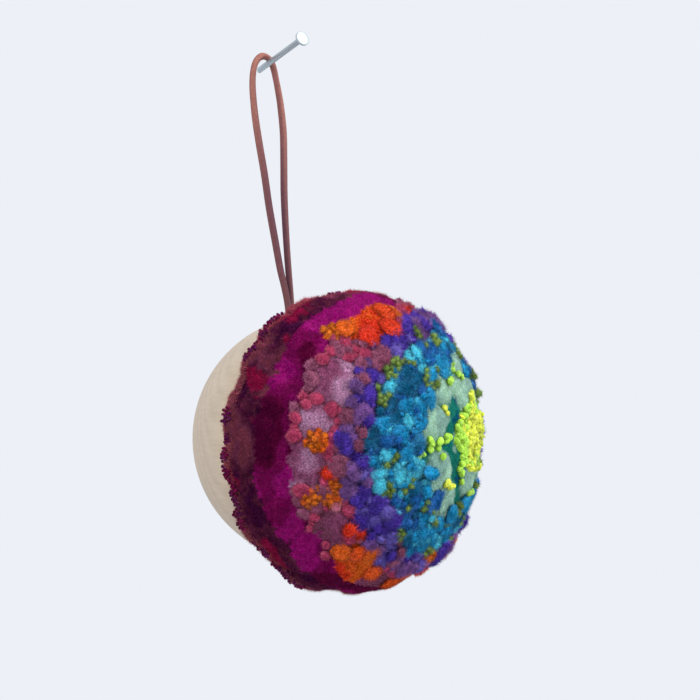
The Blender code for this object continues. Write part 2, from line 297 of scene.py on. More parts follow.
def zip_rings(counts):
    """Triangles between neighbouring rings of so many points each, numbered on from ring to ring."""
    faces, low = [], 0
    for n, m in zip(counts, counts[1:]):
        high = low + n
        i = j = 0
        while i < n or j < m:
            if j == m or (i < n and (i + 1) * m <= (j + 1) * n):
                faces.append((low + i % n, high + j % m, low + (i + 1) % n))
                i += 1
            else:
                faces.append((low + i % n, high + j % m, high + (j + 1) % m))
                j += 1
        low = high
    return np.array([face for face in faces if len(set(face)) == 3])


# Noise and colours

def noise(points, size, seed):
    """Smooth noise from -1 to 1 at each point, its lumps about so many mm across. Each seed gives its own."""
    grid = points / (size * MM) + 512
    cell = np.floor(grid).astype(np.int64)
    t = grid - cell
    t = t * t * (3 - 2 * t)
    total = np.zeros(points.shape[:-1])
    for corner in itertools.product((0, 1), repeat=3):
        x, y, z = np.moveaxis(cell + corner, -1, 0)
        mixed = x * 73856093 ^ y * 19349663 ^ z * 83492791 ^ seed * 2654435761
        mixed = (mixed ^ mixed >> 13) * 1274126177 & 0xFFFFFFFF
        value = (mixed >> 8 & 0xFFFF) / 32767.5 - 1
        total += value * np.prod(np.where(corner, t, 1 - t), axis=-1)
    return total


def noisy(value, points, *layers):
    """A value with layers of noise on it, each a strength, a size and a seed."""
    for strength, size, seed in layers:
        value = value + strength * noise(points, size, seed)
    return value


def smoothstep(low, high, value):
    t = np.clip((value - low) / (high - low), 0, 1)
    return t * t * (3 - 2 * t)


def blend(a, b, share):
    """Colours a to b by each point's share."""
    share = np.asarray(share)[..., None]
    return a * (1 - share) + b * share


def ramp(names, share):
    """Colours that run through the named ones as share goes from 0 to 1."""
    stops = np.array([linear(name) for name in names])
    at = np.clip(share, 0, 0.9999) * (len(names) - 1)
    low = at.astype(int)
    return blend(stops[low], stops[low + 1], smoothstep(0.1, 0.9, at - low))


def paler(colours, share):
    """Colours drawn towards the light tone that fibre tips of their hue have."""
    return blend(colours, 0.08 + 0.92 * colours / colours.max(axis=-1, keepdims=True), share)


# The cap's form and layout, as in the part

class Cap:
    """The cap's smooth form. A place on it is (share, angle): 0 at the pole, 1 at the rim, more behind it."""

    STEPS = 400
    PROBE = 0.004

    def __init__(self):
        front = np.linspace(pi / 2, 0, self.STEPS)
        behind = np.linspace(0, pi / 2, self.STEPS // 4)[1:]
        roll_out = RIM_RADIUS - CAP_BACK_RADIUS
        roll_back = RIM_DEPTH - BALL_SEAT_DEPTH - GAP
        self.radii = np.concatenate([RIM_RADIUS * np.cos(front), CAP_BACK_RADIUS + roll_out * np.cos(behind)])
        self.heights = np.concatenate([CAP_HEIGHT * np.sin(front), -roll_back * np.sin(behind)])
        run = np.hypot(np.diff(self.radii), np.diff(self.heights))
        arc = np.concatenate([[0], np.cumsum(run)])
        self.arc_to_rim = arc[self.STEPS - 1]
        self.shares = arc / self.arc_to_rim
        self.last = self.shares[-1]

    def radius(self, share):
        """How far from the cap's axis a place lies."""
        return np.interp(share, self.shares, self.radii)

    def place(self, share, angle):
        radius = self.radius(share)
        height = np.interp(share, self.shares, self.heights)
        x, z = radius * np.cos(angle), radius * np.sin(angle) - CAP_DROP
        return np.stack([x, -RIM_DEPTH - height, z], axis=-1)

    def normal(self, share, angle):
        share = np.minimum(share, self.last - self.PROBE)
        along = self.place(share + self.PROBE, angle) - self.place(share - self.PROBE, angle)
        around = np.stack([-np.sin(angle), 0 * angle, np.cos(angle)], axis=-1)
        return unit(np.cross(along, around))


def heart_share(x, y):
    """How far places on the cap lie from the heart towards the rim, with the bands' waviness."""
    hx, hy = HEART
    away, turn = np.hypot(x - hx, y - hy), np.arctan2(y - hy, x - hx)
    along = hx * np.cos(turn) + hy * np.sin(turn)
    to_rim = np.sqrt(along**2 + 1 - hx**2 - hy**2) - along
    share = (away / to_rim) ** (1 + SQUEEZE * np.maximum(0.0, np.cos(turn))**2)
    wave = sum(size * np.sin(turns * turn + phase) for turns, size, phase in WAVES)
    return share + wave * np.minimum(1.0, 4 * share * np.maximum(0.0, 1 - share))


def from_heart(share, angle):
    """How far from the heart a place (share, angle) lies."""
    return heart_share(share * np.cos(angle), share * np.sin(angle))


EDGES = np.array([band.edge for band in BANDS])
Tuft = namedtuple("Tuft", "spot radius height share angle band")


class Tufts:
    """A growing set of tufts with their middles and radii at hand."""

    def __init__(self, tufts=()):
        self.all = list(tufts)
        self.spots = np.array([t.spot for t in self.all]).reshape(-1, 3)
        self.radii = np.array([t.radius for t in self.all])

    def add(self, tuft):
        self.all.append(tuft)
        self.spots = np.concatenate([self.spots, [tuft.spot]])
        self.radii = np.append(self.radii, tuft.radius)

    def near(self, spot, scale, more=0.0):
        """Whether a spot is nearer to one of them than scale times its radius and more together."""
        return bool((np.linalg.norm(self.spots - spot, axis=1) < scale * (self.radii + more)).any())


def scatter(cap, rng, size_of, room, patches):
    """Tufts at random places, each in its own band, clear of one another and of the patches."""
    found = Tufts()
    for number, band in enumerate(BANDS):
        middle_radius, height, wanted = size_of(band)
        count = 0
        for _ in range(wanted * TRIES):
            x, y = rng.uniform(-1.0, 1.0, 2)
            radius = middle_radius * MM * rng.uniform(1 - SIZE_SPREAD, 1 + SIZE_SPREAD)
            share, angle = hypot(x, y), atan2(y, x)
            mine = np.searchsorted(EDGES, heart_share(x, y), "right") == number
            if count == wanted or share > FRONT or not mine:
                continue
            spot = cap.place(share, angle)
            if found.near(spot, room, radius) or patches.near(spot, BOBBLE_CLEAR):
                continue
            found.add(Tuft(spot, radius, height * MM, share, angle, number))
            count += 1
    return found


def lay_out(cap):
    """The part's own patches and bobbles."""
    rng = np.random.default_rng(SEED)
    patches = scatter(cap, rng, lambda b: (b.patch_radius, b.patch_height, b.patches), PATCH_ROOM, Tufts())
    bobbles = scatter(cap, rng, lambda b: (b.bobble_radius, b.bobble_height, b.bobbles), BOBBLE_ROOM, patches)
    return patches, bobbles


# Colour of the pile

# What shows between a band's patches, a dark yarn of its hue, and its share of full colour, a painted shade
GROUND_AND_SHADE = (
    ("heart_ground", 0.70), ("teal_green", 0.75), ("midnight", 0.70), ("deep_violet", 0.60),
    ("dark_red", 0.75), ("wine", 0.95), ("plum", 1.0),
)
# The patches of a band take these in turn, from a drawn order: other numbers of them would change every draw
PATCH_COLOURS = (
    ("yellow",),
    ("sage", "grey_sage", "sage", "sage"),
    ("cerulean", "blue", "cerulean"),
    ("violet", "violet", "deep_violet"),
    ("red_orange", "light_mauve", "orange", "mauve", "light_mauve", "orange", "brown_mauve"),
    ("magenta", "deep_magenta", "magenta", "wine", "magenta", "wine"),
    ("plum_brown", "plum", "wine", "plum", "rust", "plum"),
)
SECOND_COLOURS = {
    "yellow": "gold", "sage": "grey_sage", "grey_sage": "sage", "cerulean": "blue", "blue": "deep_teal",
    "violet": "periwinkle", "deep_violet": "violet", "red_orange": "orange", "orange": "red_orange",
    "light_mauve": "mauve", "mauve": "light_mauve", "brown_mauve": "mauve", "magenta": "deep_magenta",
    "deep_magenta": "magenta", "wine": "deep_magenta", "plum_brown": "plum", "plum": "plum_brown",
    "rust": "plum_brown",
}
TEAL_FELT = ("deep_teal", "teal_green", "teal_green", "grey_sage")
# Sheared bands that are mottled all over: their mottles' size in mm, how long they are, and their colours
Mottle = namedtuple("Mottle", "band size along strength colours")
MAGENTAS = 4 * ("magenta",) + 2 * ("deep_magenta",) + 2 * ("wine",) + ("deep_wine",)
PLUMS = ("dark_plum", "plum", "plum_brown", "plum", "plum_brown", "dusk", "rust")
MOTTLES = (
    Mottle(MAGENTA_BAND, 9.5, 0.85, 0.85, MAGENTAS),
    Mottle(PLUM_BAND, 3.6, 0.5, 0.8, PLUMS),
)
CRIMSON = (3.8, 0.30, 0.38)  # blotches in the plum band: their size in mm, and where they fade in
FELT_CURL, TUFTED_CURL, SHEARED_CURL = 0.5, 0.9, 0.35
ORANGES = ("red_orange", "orange")
ORANGE_REACH = 1.5  # how much wider orange patches lie than the part's own
FAR_SIDE = 26 * MM  # past here, to the heart's right, orange patches are small and have no heads of knots
GROUND_LIFT = 0.5 * MM  # between bobbles the pile stands this much higher than the plain surface
ARC_TO_RIM = 48.84 * MM  # from the pole to the rim, along the cap


def belt(share, angle, along):
    """Coordinates that shrink distances along the rim, so that noise over them is drawn out that way."""
    out = share * ARC_TO_RIM / RIM_RADIUS
    return np.stack([along * np.cos(angle), along * np.sin(angle), out], axis=-1) * RIM_RADIUS


def nearest(spots, things, scale=1.0, rough=lambda thing: ()):
    """For each spot which thing is nearest, and how far away it is, in that thing's scaled radii."""
    away, which = np.full(len(spots), np.inf), np.zeros(len(spots), int)
    for k, thing in enumerate(things):
        distance = np.linalg.norm(spots - thing.spot, axis=1) / (thing.radius * scale)
        distance = sum(rough(thing), distance)
        closer = distance < away
        away[closer], which[closer] = distance[closer], k
    return which, away


class Pile:
    """The sheared surface: where its patches lie, how high it stands and what colour it has."""

    def __init__(self, cap, patches, rng):
        self.cap, self.patches = cap, patches
        turns = [rng.permutation(len(names)) for names in PATCH_COLOURS]
        seen = [0] * len(PATCH_COLOURS)
        self.names = []
        for tuft in patches.all:
            names = PATCH_COLOURS[tuft.band]
            self.names.append(names[turns[tuft.band][seen[tuft.band] % len(names)]])
            seen[tuft.band] += 1
        self.first = np.array([linear(name) for name in self.names])
        self.second = np.array([linear(SECOND_COLOURS[name]) for name in self.names])
        self.lean = unit(rng.normal(size=(len(self.names), 3)))
        self.heights = np.array([t.height for t in patches.all])
        near = [n in ORANGES and t.spot[0] < FAR_SIDE for t, n in zip(patches.all, self.names)]
        self.wide = Tufts(t._replace(radius=t.radius * ORANGE_REACH) if wide else t
                          for t, wide in zip(patches.all, near))
        self.orange = Tufts(t for t, wide in zip(self.wide.all, near) if wide)

    def nearest(self, spots):
        """For each spot its nearest patch, and how far out it lies in that patch: 1 is the patch's edge."""
        ragged = noisy(0, spots, (0.13, 1.7, 11), (0.09, 0.7, 12))
        broad = 0.30 * noise(spots, 3.2, 10) - 0.08
        return nearest(spots, self.wide.all, PATCH_SKIRT, lambda t: (ragged, broad * (t.band == TEAL_BAND)))

    def height(self, spots, which, away):
        """How high the pile stands over the cap's smooth form."""
        rise = self.heights[which] * (1 - np.clip(away, 0, 1)**PATCH_FLATNESS)
        return noisy(rise, spots, (0.14 * MM, 1.3, 13), (0.06 * MM, 0.55, 14))

    def tone(self, spots, which):
        """The colour of each spot's patch, which turns from its first colour to its second."""
        along = np.einsum("ij,ij->i", spots - self.patches.spots[which], self.lean[which])
        along = noisy(along / self.patches.radii[which], spots, (1.0, 2.6, 16), (0.25, 0.6, 17))
        return blend(self.first[which], self.second[which], smoothstep(-0.7, 0.9, along))

    def mottled(self, spots, share, angle, row):
        """Colour and relief of a sheared band."""
        at = belt(share, angle, row.along)
        tuft = noise(at, row.size, 21) + 0.55 * noise(at[:, [2, 0, 1]], 0.45 * row.size, 22)
        fine = noise(spots, 0.9, 23)
        colour = ramp(row.colours, 0.5 + row.strength * tuft + 0.07 * fine)
        if row.band == PLUM_BAND:
            size, low, high = CRIMSON
            blotch = noise(at[:, [1, 2, 0]], size, 24) + 0.12 * fine
            colour = blend(colour, linear("crimson"), 0.85 * smoothstep(low, high, blotch))
        return colour, noise(at, 2.4, 25)

    def bands(self, spots, share, angle):
        """Each spot's band, with ragged borders."""
        away = np.where(share < 1, from_heart(0.999 * share, angle), 1.0)
        away += noisy(0, spots, (0.016, 2.2, 15), (0.010, 0.6, 18))
        return np.minimum(np.searchsorted(EDGES, away, "right"), PLUM_BAND)

    def surface(self, spots, share, angle):
        """Height and tint of the pile at each spot, whether bobbles belong there, and its fibres' length."""
        which, away = self.nearest(spots)
        height = self.height(spots, which, away)
        band = self.bands(spots, share, angle)
        teal, inner = band == TEAL_BAND, band < MAGENTA_BAND
        # The bands' ground, darkened as painted shade between the lumps
        colour = np.array([linear(name) * depth for name, depth in GROUND_AND_SHADE])[band]
        for row in MOTTLES:
            mine = band == row.band
            colour[mine], relief = self.mottled(spots[mine], share[mine], angle[mine], row)
            height[mine] += 0.35 * MM * relief
        turn = noisy(0.45, spots, (0.6, 2.4, 26), (0.25, 0.8, 27))
        colour = np.where(teal[:, None], ramp(TEAL_FELT, turn), colour)
        soft = np.where(teal, 0.16, 0.02)
        colour = blend(colour, self.tone(spots, which), smoothstep(1 + soft, 1 - soft, away) * inner)
        open_ground = (away >= 1) & inner & ~teal
        height[open_ground] += GROUND_LIFT
        for layer in ((0.16, 1.3, 19), (0.18, 0.6, 20)):
            colour = colour * noisy(1, spots, layer)[:, None]
        curl = np.where(teal, FELT_CURL, np.where(inner, TUFTED_CURL, SHEARED_CURL))
        return height, np.column_stack([colour, curl]), open_ground, np.where(teal, 0.5, 1.0)


# Base surface of the pile

PILE_GRAIN = 0.55 * MM
FELT_PAINTED_SHADE = 0.72  # the felt under the fibres has this share of their brightness, a painted shade deep in the pile
Surface = namedtuple("Surface", "places faces tints normals", defaults=[None])


def pile_surface(cap, pile, lumps, rng):
    """The pile's surface, closed over its flat back, with how far each face shows, and each face's coat."""
    rows = int(cap.last * cap.arc_to_rim / PILE_GRAIN)
    shares, angles, counts = [], [], []
    for row in range(rows + 1):
        share = cap.last * row / rows
        count = max(1, round(tau * cap.radius(share) / PILE_GRAIN))
        stray = rng.uniform(-0.2, 0.2, count) + 0.5 * (row % 2)
        angles.append(tau * (np.arange(count) + stray) / count)
        shares.append(np.full(count, share))
        counts.append(count)
    shares, angles = np.concatenate(shares), np.concatenate(angles)
    smooth, normals = cap.place(shares, angles), cap.normal(shares, angles)
    height, tints, open_ground, coat = pile.surface(smooth, shares, angles)
    which, away = nearest(smooth, lumps)
    lump_colours = np.array([lump.colour for lump in lumps])[which]
    # Painted shade: open ground close to a lump takes a darkened copy of the lump's colour
    lump_shaded_ground = open_ground & (away < 2.2)
    tints[lump_shaded_ground, :3] = blend(tints[lump_shaded_ground, :3], 0.62 * lump_colours[lump_shaded_ground], 0.7)
    shows = np.where(open_ground, smoothstep(0.7, 1.0, away), 1.0)
    height *= 1 - smoothstep(0.93 * cap.last, cap.last, shares)
    places = smooth + normals * height[:, None]
    centre = np.array([[0, places[-1, 1], -CAP_DROP]])
    faces = zip_rings(counts + [1])
    surface = Surface(np.concatenate([places, centre]), faces, np.concatenate([tints, tints[-1:]]))
    return surface, np.append(shows, 0.0)[faces].mean(axis=1), np.append(coat, 1.0)[faces].mean(axis=1)


# Lumps: bobbles, petals and knots

LUMP_CURL = 0.8
Lump = namedtuple("Lump", "spot normal radius height colour stretch turn coat rim", defaults=[1.0, 0.12])
# The three kinds: how fine their meshes are, how rough, their ribs, and how mottled
Form = namedtuple("Form", "around rings rough ribs rib_depth mottle")
FORMS = {
    "big": Form(10, 7, 0.28, 5, 0.06, 0.17),
    "small": Form(6, 4, 0.12, 3, 0.04, 0.1),
    "glossy": Form(10, 7, 0.26, 4, 0.20, 0.25),
}
# Where fibres grow: face by face how many of them, which way they lie and how long they are
Bed = namedtuple("Bed", "surface weight lie coat")


def sphere(around, rings):
    """A unit sphere's points and triangles."""
    points, faces = [(0.0, 0.0, 1.0)], []
    for ring in range(1, rings):
        tilt = pi * ring / rings
        for k in range(around):
            turn = tau * (k + 0.5 * (ring % 2)) / around
            points.append((sin(tilt) * cos(turn), sin(tilt) * sin(turn), cos(tilt)))
    points.append((0.0, 0.0, -1.0))
    last = len(points) - 1
    for k in range(around):
        after = (k + 1) % around
        faces.append((0, 1 + k, 1 + after))
        for ring in range(rings - 2):
            low, high = 1 + ring * around, 1 + (ring + 1) * around
            if ring % 2:
                faces += [(low + k, high + k, high + after), (low + k, high + after, low + after)]
            else:
                faces += [(low + k, high + k, low + after), (low + after, high + k, high + after)]
        low = 1 + (rings - 2) * around
        faces.append((last, low + after, low + k))
    return np.array(points), np.array(faces)


def lump_bed(lumps, form):
    """All lumps of a kind as one bed for fibres.

    Each lump is an egg that stands in the pile, rougher if it is long. Painted shade darkens it towards its
    foot and in the grooves of its ribs, a painted sheen pales its shoulder, and its colour is mottled.
    """
    points, triangles = sphere(form.around, form.rings)
    x, y, z = points.T
    columns = (np.array(column)[:, None] for column in zip(*lumps))
    spot, normal, radius, height, colour, stretch, turn, coat, rim = columns
    side, other = across(normal)
    c, s = np.cos(turn)[..., None], np.sin(turn)[..., None]
    long_way, short_way = side * c + other * s, other * c - side * s
    rib = np.cos(form.ribs * np.arctan2(z, y) + turn * 37) * (1 - x**2)
    swell = 1 + form.rib_depth * rib
    places = (spot + (x * swell * (radius * stretch))[..., None] * long_way
              + (y * swell * (radius / stretch))[..., None] * short_way
              + ((0.42 + 0.62 * (z * swell)) * height)[..., None] * normal)
    broad, fine, cloud = noise(places, 1.3, 41), noise(places, 0.5, 42), noise(places, 1.7, 43)
    middle = spot + 0.4 * (height[..., None] * normal)
    rough = form.rough * np.clip(4.4 * stretch - 4, 0.5, 1.2)
    places = places + (places - middle) * (rough * (broad + 0.5 * fine))[..., None]
    end = (stretch - 1) * x
    # Painted shade: darker towards the lump's foot and in the grooves between its ribs, lighter on top
    shade = 0.58 + 0.42 * smoothstep(-0.4, 0.6, z) + (0.08 + form.mottle) * broad + 0.10 * rib + 1.2 * end
    # Painted sheen: rim pales a ring round the shoulder; the mottle and end terms are the yarn's own colour
    pale = rim * np.exp(-((z - 0.30) / 0.26)**2) + form.mottle * np.maximum(cloud, 0) + np.maximum(end, 0)
    tints = paler(colour * np.maximum(shade, 0.3)[..., None], pale)
    tints = np.concatenate([tints, np.full(shade.shape + (1,), LUMP_CURL)], axis=-1)
    faces = triangles + (np.arange(len(lumps)) * len(points))[:, None, None]
    surface = Surface(places.reshape(-1, 3), faces.reshape(-1, 3), tints.reshape(-1, 4))
    top = np.tile(smoothstep(-0.55, 0.0, z[triangles].mean(axis=1)), len(lumps))
    lie = np.repeat(long_way[:, 0], len(triangles), axis=0)
    return Bed(surface, top, lie, np.repeat(coat, len(triangles)))


# Fibres

STREAKS = (1.0, 0.3, 1.0)  # tufts of like fibres are longer front to back, which is up the cap's side
# What grows on each bed in one batch: how many fibres, their size in mm, how much they stray, how pale their
# tips are, how much their colour varies, and how strongly they lie along it
Fibre = namedtuple("Fibre", "bed count length width stray pale tone lie")
FIBRES = (
    Fibre("pile", 26000, 0.56, 0.17, 0.30, 0.12, 0.42, 0.40),
    Fibre("fringe", 3500, 1.05, 0.09, 0.50, 0.40, 0.30, 0.0),
    Fibre("pile", 1500, 1.20, 0.05, 0.90, 0.40, 0.30, 0.0),
    Fibre("big", 22500, 1.00, 0.14, 0.60, 0.30, 0.40, 0.45),
    Fibre("big", 2500, 1.30, 0.05, 0.70, 0.50, 0.30, 0.0),
    Fibre("small", 8000, 0.60, 0.12, 0.60, 0.15, 0.30, 0.0),
)
FIBRE_BATCHES = 4


def with_normals(surface):
    """The surface with each point's own normal."""
    a, b, c = (surface.places[surface.faces[:, k]] for k in range(3))
    cross = np.cross(b - a, c - a)
    total = np.zeros_like(surface.places)
    for k in range(3):
        np.add.at(total, surface.faces[:, k], cross)
    return surface._replace(normals=unit(total))


def grow(bed, fibre, rng):
    """Fibres rooted at random over a bed: three-sided needles that shade as it does, with painted shade at
    their roots and paler tips.
    """
    surface, count = bed.surface, fibre.count
    a, b, c = (surface.places[surface.faces[:, k]] for k in range(3))
    chance = np.linalg.norm(np.cross(b - a, c - a), axis=1) * bed.weight
    chosen = rng.choice(len(chance), count, p=chance / chance.sum())
    u, v = rng.uniform(size=(2, count))
    over = u + v > 1
    u[over], v[over] = 1 - u[over], 1 - v[over]
    mix = np.stack([1 - u - v, u, v], axis=1)[..., None]
    roots, tints, normals = ((values[surface.faces[chosen]] * mix).sum(axis=1)
                             for values in (surface.places, surface.tints, surface.normals))
    normals = unit(normals)
    out = unit(normals + fibre.stray * rng.normal(size=(count, 3)) + fibre.lie * bed.lie[chosen])
    low = np.einsum("ij,ij->i", out, normals) < 0.15
    out = unit(out + 0.9 * normals * low[:, None])
    lengths = fibre.length * MM * rng.uniform(0.55, 1.25, count) * bed.coat[chosen]
    streaks = noise(roots * STREAKS, 0.42, 51)
    tints[:, :3] *= np.exp(fibre.tone * (0.7 * rng.normal(size=count) + 1.6 * streaks))[:, None]
    widths = fibre.width * MM * rng.uniform(0.75, 1.3, count)
    side, other = across(out, (0.57, 0.13, 0.81))
    roots = roots - out * 0.08 * MM
    places = []
    for k in range(3):
        angle = tau * k / 3
        places.append(roots + (side * cos(angle) + other * sin(angle)) * widths[:, None] / 2)
    places.append(roots + out * lengths[:, None])
    pattern = np.array([(0, 1, 3), (1, 2, 3), (2, 0, 3)])
    faces = (np.arange(count)[:, None, None] * 4 + pattern).reshape(-1, 3)
    tints = np.repeat(tints[:, None], 4, axis=1)
    # Painted shade: each fibre is darker at its root, deep in the pile
    tints[:, :3, :3] *= 0.82
    tints[:, 3, :3] = paler(1.1 * tints[:, 3, :3], fibre.pale)
    return Surface(np.stack(places, axis=1).reshape(-1, 3), faces, tints.reshape(-1, 4),
                   np.repeat(unit(normals + 0.5 * out), 4, axis=0))


def joined(parts):
    """Several surfaces as one."""
    offsets = np.cumsum([0] + [len(part.places) for part in parts])
    faces = [part.faces + offset for part, offset in zip(parts, offsets)]
    places, _, tints, normals = zip(*parts)
    return Surface(*(np.concatenate(arrays) for arrays in (places, faces, tints, normals)))


# Materials

class Material:
    """A node material on the Principled shader."""

    def __init__(self, name, **inputs):
        self.made = bpy.data.materials.new(name)
        self.made.use_nodes = True
        self.tree = self.made.node_tree
        self.shader = self.tree.nodes["Principled BSDF"]
        self.feed(self.shader, **inputs)

    def feed(self, node, *values, **named):
        """Gives a node's inputs numbers or other nodes' outputs, in order or by name.

        Names have underscores for spaces, and lower-case ones are settings of the node itself.
        """
        pairs = list(zip(node.inputs, values))
        for name, value in named.items():
            if name.islower():
                setattr(node, name, value)
            else:
                pairs.append((node.inputs[name.replace("_", " ")], value))
        for socket, value in pairs:
            if isinstance(value, bpy.types.NodeSocket):
                self.tree.links.new(value, socket)
            else:
                socket.default_value = value

    def add(self, kind, output, *values, **named):
        """One output of a new node."""
        node = self.tree.nodes.new("ShaderNode" + kind)
        self.feed(node, *values, **named)
        return node.outputs[output]

    def spread(self, value, low, high, to_low=0.0, to_high=1.0):
        """A value spread from one range over another."""
        return self.add("MapRange", "Result", value, low, high, to_low, to_high)

    def finished(self, colour, relief, strength, depth):
        """The material in a colour, with bumps of a strength and depth."""
        bumps = self.add("Bump", "Normal", Height=relief, Strength=strength, Distance=depth)
        self.feed(self.shader, Base_Color=colour, Normal=bumps)
        return self.made


Yarn = namedtuple("Yarn", "name roughness sheen speckle curls bump depth gloss")
WOOL = Yarn("wool", 0.95, 0.01, 0.37, 2150, 0.12 * MM, 0.25, 0.0)
FUZZ = Yarn("wool_fibre", 0.95, 0.0, 0.37, 2150, 0.03 * MM, 0.0, 0.0)
THREAD = Yarn("thread", 0.50, 0.05, 0.28, 2200, 0.16 * MM, 0.0, 0.45)


def yarn_material(yarn):
    """Wool or thread: the mesh's own tint in light and dark curls, so many to a metre, and bumps to match."""
    made = Material(yarn.name, Roughness=yarn.roughness, Specular_IOR_Level=yarn.gloss, Sheen_Roughness=0.45,
                    Sheen_Weight=yarn.sheen, Sheen_Tint=(1.0, 0.92, 0.96, 1), Subsurface_Scale=0.7 * MM,
                    Subsurface_Weight=yarn.depth, Subsurface_Radius=(1.0, 0.7, 0.8))
    here = made.add("TexCoord", "Object")
    tint = made.add("VertexColor", "Color", layer_name="tint")
    curls = made.add("TexVoronoi", "Distance", here, Scale=yarn.curls)
    flecks = made.add("TexNoise", "Fac", here, Scale=0.6 * yarn.curls, Detail=3.0, Roughness=0.65)
    curl_tone = made.spread(curls, 0.15, 0.8, 1 + yarn.speckle, 1 - yarn.speckle)
    fleck_tone = made.spread(flecks, 0.3, 0.7, 1 - 0.4 * yarn.speckle, 1 + 0.4 * yarn.speckle)
    both = made.add("Math", "Value", curl_tone, fleck_tone, operation="MULTIPLY")
    off = made.add("Math", "Value", both, 1.0, operation="SUBTRACT")
    tone = made.add("Math", "Value", off, tint.node.outputs["Alpha"], 1.0, operation="MULTIPLY_ADD")
    hue = made.spread(curls, 0.15, 0.8, 1 - 0.12 * yarn.speckle)
    colour = made.add("HueSaturation", "Color", Color=tint, Saturation=hue, Value=tone)
    return made.finished(colour, both, 0.6, yarn.bump)


def wood_material():
    """Sanded pale wood, its growth rings round the ball's own axis, with painted warm bounce light from the cap
    near it.
    """
    made = Material("pale_wood", Roughness=0.62, Specular_IOR_Level=0.3)
    here = made.add("TexCoord", "Object")
    centred = made.add("Mapping", "Vector", here, Location=(2 * MM, 0, BALL_DROP + 3 * MM))
    rings = made.add("TexWave", "Fac", centred, Scale=400, Distortion=6.0, Detail=3.0, Detail_Scale=0.10,
                     wave_type="RINGS", rings_direction="Y")
    grown = made.add("MixRGB", "Color", made.spread(rings, 0.0, 0.8), (0.550, 0.442, 0.332, 1),
                     (0.586, 0.476, 0.363, 1))
    # Painted light: warm light bounced from the wool, on the wood near the cap
    cap_bounce_share = made.spread(made.add("SeparateXYZ", "Y", here), -20 * MM, -RIM_DEPTH)
    cap_bounce_glow = made.add("MixRGB", "Color", cap_bounce_share, grown, (1.17, 1.05, 0.86, 1), blend_type="MULTIPLY")
    drawn = made.add("Mapping", "Vector", here, Scale=(1, 0.12, 1))
    pores = made.add("TexNoise", "Fac", drawn, Scale=1500, Detail=4.0, Roughness=0.7)
    blotches = made.add("TexNoise", "Fac", here, Scale=55, Detail=2.0)
    tone = made.add("Math", "Value", made.spread(pores, 0.25, 0.75, 0.90, 1.08),
                    made.spread(blotches, 0.3, 0.7, 0.93, 1.06), operation="MULTIPLY")
    colour = made.add("HueSaturation", "Color", Color=cap_bounce_glow, Value=tone)
    return made.finished(colour, pores, 0.25, 0.08 * MM)


def leather_material():
    """Matte leather: the mesh's own tint, with a fine grain."""
    made = Material("leather", Roughness=0.62, Specular_IOR_Level=0.3)
    here = made.add("TexCoord", "Object")
    tint = made.add("VertexColor", "Color", layer_name="tint")
    grain = made.add("TexNoise", "Fac", here, Scale=1400, Detail=4.0, Roughness=0.7)
    cells = made.add("TexVoronoi", "Distance", here, Scale=2600)
    colour = made.add("HueSaturation", "Color", Color=tint, Value=made.spread(grain, 0.3, 0.7, 0.78, 1.22))
    return made.finished(colour, cells, 0.5, 0.06 * MM)


def steel_material():
    """Bright wire, its fine marks drawn out along it."""
    made = Material("bright_steel", Metallic=1.0)
    drawn = made.add("Mapping", "Vector", made.add("TexCoord", "Object"), Scale=(1, 0.05, 0.2))
    marks = made.add("TexNoise", "Fac", drawn, Scale=2600, Detail=3.0)
    tone = made.add("MixRGB", "Color", marks, (0.47, 0.54, 0.58, 1), (0.53, 0.60, 0.64, 1))
    made.feed(made.shader, Base_Color=tone, Roughness=made.spread(marks, 0.3, 0.7, 0.42, 0.50))
    return made.made


# Camera, floor and light

def add_camera():
    lens = bpy.data.cameras.new("camera")
    lens.sensor_width, lens.lens = 36, CAMERA_LENS
    lens.clip_start, lens.clip_end = 0.01, 20
    camera = add_object("camera", lens)
    camera.location = CAMERA_PLACE
    camera.rotation_euler = (pi / 2 - CAMERA_ELEVATION, 0, CAMERA_AZIMUTH)
    bpy.context.scene.camera = camera


def add_lamp(row):
    lamp = bpy.data.lights.new(row.name, "AREA")
    lamp.shape, lamp.size, lamp.energy, lamp.color = "DISK", row.size, row.power, row.colour
    made = add_object(row.name, lamp)
    made.location = row.place
    made.rotation_euler = (LIT_MIDDLE - Vector(row.place)).to_track_quat("-Z", "Y").to_euler()


def add_studio():
    world = bpy.data.worlds.new("studio")
    bpy.context.scene.world = world
    world.use_nodes = True
    sky = world.node_tree.nodes["Background"]
    sky.inputs["Color"].default_value = SKY_COLOUR
    sky.inputs["Strength"].default_value = SKY_STRENGTH
    for row in LAMPS:
        add_lamp(row)
    bm = bmesh.new()
    bmesh.ops.create_circle(bm, cap_ends=True, segments=96, radius=FLOOR_RADIUS)
    floor = add_object("floor", to_mesh("floor", bm))
    floor.location.z = FLOOR_DROP
    floor.data.materials.append(Material("pale_floor", Base_Color=FLOOR_COLOUR, Roughness=0.9).made)
    bpy.context.scene.view_settings.view_transform = "Standard"


# Lace

